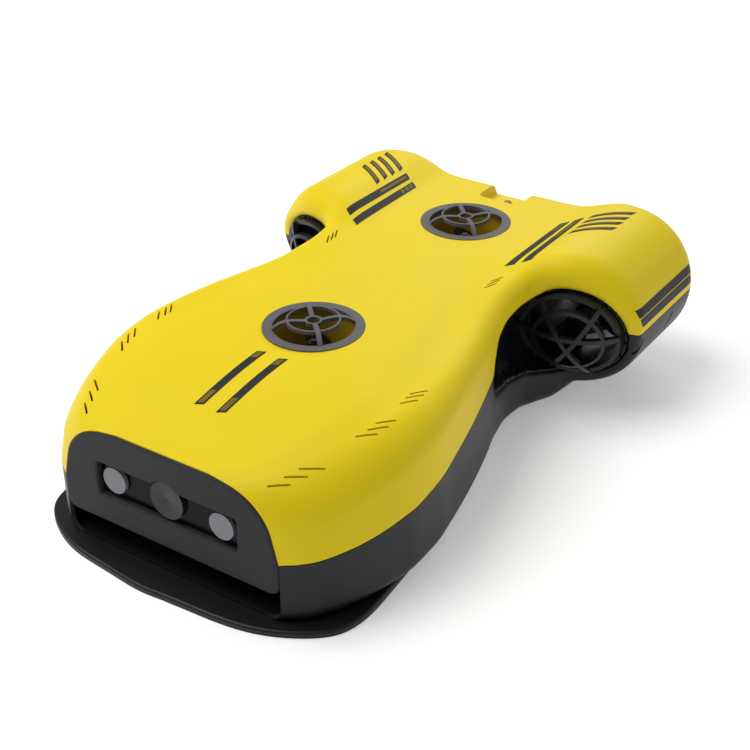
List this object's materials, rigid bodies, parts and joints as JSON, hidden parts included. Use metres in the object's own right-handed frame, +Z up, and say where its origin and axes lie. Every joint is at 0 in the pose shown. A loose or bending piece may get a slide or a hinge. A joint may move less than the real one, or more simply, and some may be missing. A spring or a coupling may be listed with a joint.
{
  "type": "underwater camera drone",
  "caption": "Compact underwater scooter-type camera drone: flat hull with front camera and lamps, vertical lift fans and rear thrust pods with guarded propellers.",
  "frame": {"origin": "floor level under the middle of the whole drone's bounding box", "axes": "+Z up, nose towards -Y; left (-X) and right (+X) are named as seen when looking at the nose from in front"},
  "size_m": [0.295, 0.4304, 0.1165],
  "materials": {
    "hull_yellow": "satin, fine moulded grain",
    "hull_black": "satin, fine moulded grain",
    "bezel_grey": "matte",
    "window_dark": "smoked, glossy",
    "lamp_glass": "frosted lens",
    "lens_glass": "polished",
    "seal_rubber": "matte",
    "inner_black": "matte",
    "circuit_board": "lacquered",
    "bright_metal": "brushed",
    "tube_aluminium": "anodised",
    "cell_wrap": "shrink wrap",
    "stripe_dark": "printed inlay",
    "guard_grey": "satin",
    "intake_guard_black": "gloss",
    "duct_black": "gloss",
    "propeller_black": "gloss",
    "socket_black": "matte"
  },
  "bodies": {
    "hull": {"upper_shell": "hull_yellow", "lower_shell": "hull_black", "skid_plate": "hull_black", "front_bezel": "bezel_grey", "window_panel": "window_dark", "window_seal": "seal_rubber", "lamp_carrier": "inner_black", "lamp_boards": "circuit_board", "lamp_lens_left": "lamp_glass", "lamp_lens_right": "lamp_glass", "lamp_reflector_left": "bright_metal", "lamp_reflector_right": "bright_metal", "camera_lens": "lens_glass", "camera_barrel": "inner_black", "camera_board": "circuit_board", "dry_bay_tray": "inner_black", "dry_bay_gasket": "seal_rubber", "dry_bay_lid": "inner_black", "main_board": "circuit_board", "battery_tube": "tube_aluminium", "battery_cap_front": "tube_aluminium", "battery_cap_rear": "tube_aluminium", "battery_seals": "seal_rubber", "battery_cells": "cell_wrap", "cell_holders": "inner_black", "nose_stripes": "stripe_dark", "deck_stripes": "stripe_dark", "side_stripes": "stripe_dark", "tail_socket": "socket_black", "notch_screw": "bright_metal", "skid_screws": "bright_metal", "ballast_weights": "bright_metal", "front_lift_duct": "hull_yellow", "front_lift_top_guard": "guard_grey", "front_lift_bottom_guard": "guard_grey", "front_lift_motor": "inner_black", "rear_lift_duct": "hull_yellow", "rear_lift_top_guard": "guard_grey", "rear_lift_bottom_guard": "guard_grey", "rear_lift_motor": "inner_black", "left_thrust_duct": "duct_black", "left_thrust_intake_guard": "intake_guard_black", "left_thrust_outlet_guard": "guard_grey", "left_thrust_motor": "inner_black", "right_thrust_duct": "duct_black", "right_thrust_intake_guard": "intake_guard_black", "right_thrust_outlet_guard": "guard_grey", "right_thrust_motor": "inner_black"},
    "front_lift_rotor": {"front_lift_propeller": "propeller_black", "front_lift_propeller_nut": "bright_metal", "front_lift_shaft": "bright_metal"},
    "rear_lift_rotor": {"rear_lift_propeller": "propeller_black", "rear_lift_propeller_nut": "bright_metal", "rear_lift_shaft": "bright_metal"},
    "left_thrust_rotor": {"left_thrust_propeller": "propeller_black", "left_thrust_shaft": "bright_metal"},
    "right_thrust_rotor": {"right_thrust_propeller": "propeller_black", "right_thrust_shaft": "bright_metal"}
  },
  "joints": [
    {"name": "front_lift_spin", "type": "hinge", "parent": "hull", "child": "front_lift_rotor", "pos_m": [0, -0.056, 0.08], "axis": [0, 0, 1], "continuous": true},
    {"name": "rear_lift_spin", "type": "hinge", "parent": "hull", "child": "rear_lift_rotor", "pos_m": [0, 0.1272, 0.083], "axis": [0, 0, 1], "continuous": true},
    {"name": "left_thrust_spin", "type": "hinge", "parent": "hull", "child": "left_thrust_rotor", "pos_m": [-0.104, 0.12, 0.061], "axis": [0, -1, 0], "continuous": true},
    {"name": "right_thrust_spin", "type": "hinge", "parent": "hull", "child": "right_thrust_rotor", "pos_m": [0.104, 0.12, 0.061], "axis": [0, -1, 0], "continuous": true}
  ]
}
